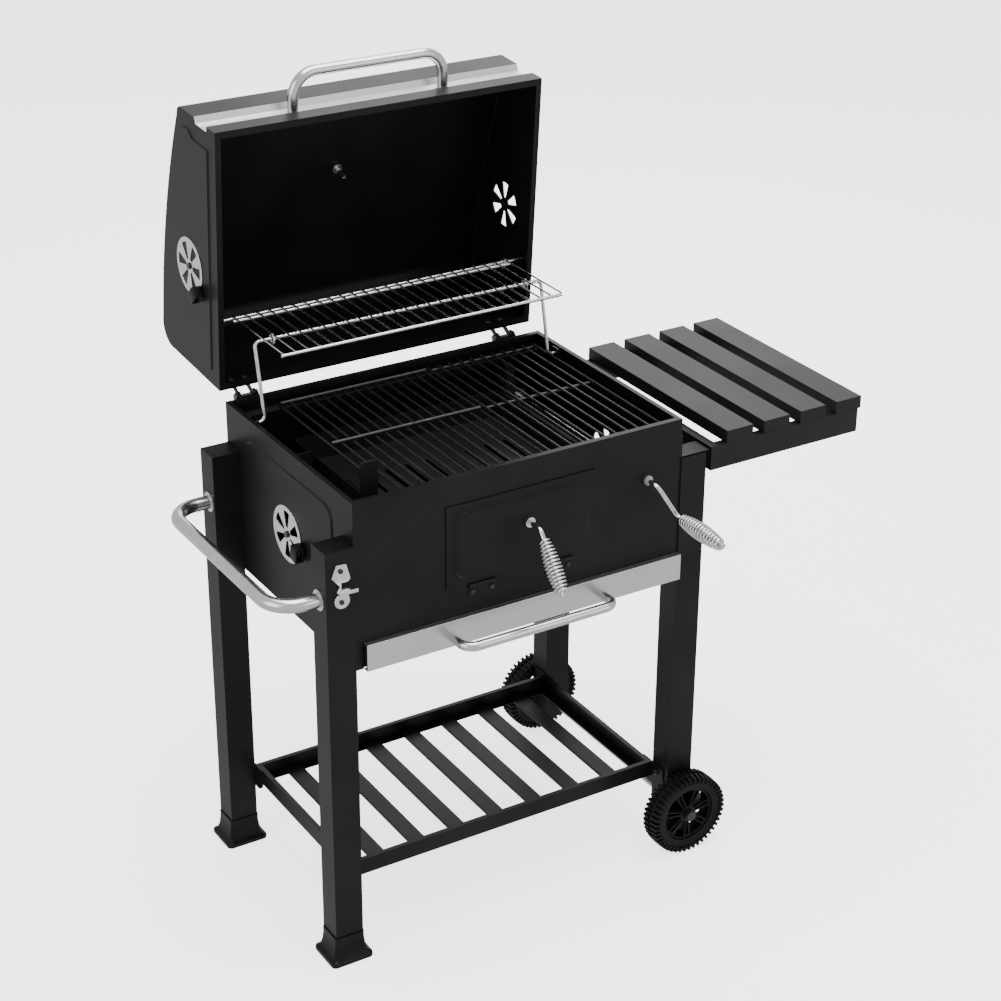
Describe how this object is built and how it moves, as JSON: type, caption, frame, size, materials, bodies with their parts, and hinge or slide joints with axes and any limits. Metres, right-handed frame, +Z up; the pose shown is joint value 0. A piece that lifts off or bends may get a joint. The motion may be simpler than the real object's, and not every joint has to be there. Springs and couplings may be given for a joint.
{
  "type": "charcoal barbecue trolley",
  "caption": "Wheeled charcoal barbecue with a hinged lid, wire racks, a crank-lifted charcoal pan, an ash drawer, a side table and a bottom shelf.",
  "frame": {"origin": "centre of the whole part's box in X and Y, on the floor, with the lid open", "axes": "+X from the push handle to the side table, +Y from the fuel door to the back, +Z up"},
  "size_m": [1.103, 0.8328, 1.3406],
  "materials": {
    "charcoal_paint": "satin powder coat",
    "stainless": "brushed",
    "bright_wire": "bright plated",
    "grate_steel": "heat-darkened, satin",
    "black_plastic": "moulded, fine grain",
    "tread_plastic": "moulded, matt",
    "zinc": "zinc plated"
  },
  "bodies": {
    "cart": {"axle": "zinc", "bottle_opener": "bright_wire", "cart_fasteners": "zinc", "crank_bushings": "zinc", "door_hinges": "charcoal_paint", "drawer_runners": "charcoal_paint", "firebox_back_panel": "charcoal_paint", "firebox_front_panel": "charcoal_paint", "firebox_left_panel": "charcoal_paint", "firebox_right_panel": "charcoal_paint", "foot_back": "black_plastic", "foot_front": "black_plastic", "grate_ledges": "charcoal_paint", "leg_left_back": "charcoal_paint", "leg_left_front": "charcoal_paint", "leg_right_back": "charcoal_paint", "leg_right_front": "charcoal_paint", "lid_hinge_brackets": "charcoal_paint", "lid_hinge_pins": "zinc", "pan_guides": "charcoal_paint", "push_handle": "stainless", "shelf_brackets": "charcoal_paint", "shelf_frame": "charcoal_paint", "shelf_slats": "charcoal_paint", "table_arms": "charcoal_paint", "table_long_rails": "charcoal_paint", "table_side_rails": "charcoal_paint", "table_slats": "charcoal_paint"},
    "lid": {"lid_shell": "charcoal_paint", "lid_left_side": "charcoal_paint", "lid_right_side": "charcoal_paint", "lid_trim_strip": "stainless", "lid_handle": "stainless", "lid_hinge_arms": "charcoal_paint", "lid_fasteners": "zinc", "thermometer": "stainless"},
    "warming_rack": {"warming_rack": "bright_wire"},
    "rack_legs": {"rack_leg_frame": "bright_wire"},
    "vent_lid_left": {"lid_vent_left": "bright_wire"},
    "vent_lid_right": {"lid_vent_right": "bright_wire"},
    "vent_box_left": {"firebox_vent_left": "bright_wire"},
    "vent_box_right": {"firebox_vent_right": "bright_wire"},
    "fuel_door": {"door_panel": "charcoal_paint", "door_handle": "bright_wire", "door_grip": "bright_wire"},
    "ash_drawer": {"drawer_front": "stainless", "drawer_tray": "charcoal_paint", "drawer_handle": "stainless"},
    "charcoal_lift": {"charcoal_pan": "charcoal_paint", "pan_lift_frame": "charcoal_paint"},
    "crank": {"crank_rod": "bright_wire", "crank_grip": "bright_wire", "crank_pinions": "zinc"},
    "wheel_front": {"wheel_tyre_front": "tread_plastic", "wheel_hub_front": "black_plastic"},
    "wheel_back": {"wheel_tyre_back": "tread_plastic", "wheel_hub_back": "black_plastic"},
    "grate_left": {"cooking_grate_left": "grate_steel"},
    "grate_right": {"cooking_grate_right": "grate_steel"}
  },
  "joints": [
    {"name": "lid_hinge", "type": "hinge", "parent": "cart", "child": "lid", "pos_m": [-0.11555, 0.1916, 0.815], "axis": [1, 0, 0], "range_deg": [0, 86]},
    {"name": "warming_rack_pivot", "type": "hinge", "parent": "lid", "child": "warming_rack", "pos_m": [-0.11555, 0.2186, 0.941], "axis": [1, 0, 0], "range_deg": [-86, 0]},
    {"name": "rack_leg_pivot", "type": "hinge", "parent": "cart", "child": "rack_legs", "pos_m": [-0.11555, 0.0916, 0.812], "axis": [1, 0, 0], "range_deg": [0, 86]},
    {"name": "lid_vent_left_turn", "type": "hinge", "parent": "lid", "child": "vent_lid_left", "pos_m": [-0.41305, 0.2851, 1.01902], "axis": [1, 0, 0], "range_deg": [0, 30]},
    {"name": "lid_vent_right_turn", "type": "hinge", "parent": "lid", "child": "vent_lid_right", "pos_m": [0.18195, 0.2851, 1.01902], "axis": [1, 0, 0], "range_deg": [0, 30]},
    {"name": "box_vent_left_turn", "type": "hinge", "parent": "cart", "child": "vent_box_left", "pos_m": [-0.41555, -0.0444, 0.676], "axis": [1, 0, 0], "range_deg": [0, 30]},
    {"name": "box_vent_right_turn", "type": "hinge", "parent": "cart", "child": "vent_box_right", "pos_m": [0.18445, -0.0444, 0.676], "axis": [1, 0, 0], "range_deg": [0, 30]},
    {"name": "fuel_door_hinge", "type": "hinge", "parent": "cart", "child": "fuel_door", "pos_m": [-0.11555, -0.2649, 0.629], "axis": [1, 0, 0], "range_deg": [0, 30]},
    {"name": "ash_drawer_slide", "type": "slide", "parent": "cart", "child": "ash_drawer", "axis": [0, -1, 0], "range_m": [0, 0.3]},
    {"name": "charcoal_lift_slide", "type": "slide", "parent": "cart", "child": "charcoal_lift", "axis": [0, 0, 1], "range_m": [-0.056, 0]},
    {"name": "crank_turn", "type": "hinge", "parent": "cart", "child": "crank", "pos_m": [0.11745, -0.2614, 0.73], "axis": [0, 1, 0], "range_deg": [-267.88, 0.5]},
    {"name": "wheel_front_spin", "type": "hinge", "parent": "cart", "child": "wheel_front", "pos_m": [0.20895, -0.2829, 0.075], "axis": [0, 1, 0], "continuous": true},
    {"name": "wheel_back_spin", "type": "hinge", "parent": "cart", "child": "wheel_back", "pos_m": [0.20895, 0.1911, 0.075], "axis": [0, 1, 0], "continuous": true},
    {"name": "grate_left_lift", "type": "slide", "parent": "cart", "child": "grate_left", "axis": [0, 0, 1], "range_m": [0, 0.03]},
    {"name": "grate_right_tilt", "type": "hinge", "parent": "cart", "child": "grate_right", "pos_m": [0.16445, -0.0444, 0.805], "axis": [0, 1, 0], "range_deg": [0, 10]}
  ],
  "couplings": [
    {"joint": "warming_rack_pivot", "follows": "lid_hinge", "ratio": -1},
    {"joint": "rack_leg_pivot", "follows": "lid_hinge", "ratio": 1},
    {"joint": "crank_turn", "follows": "charcoal_lift_slide", "rad_per_m": 83.333}
  ]
}
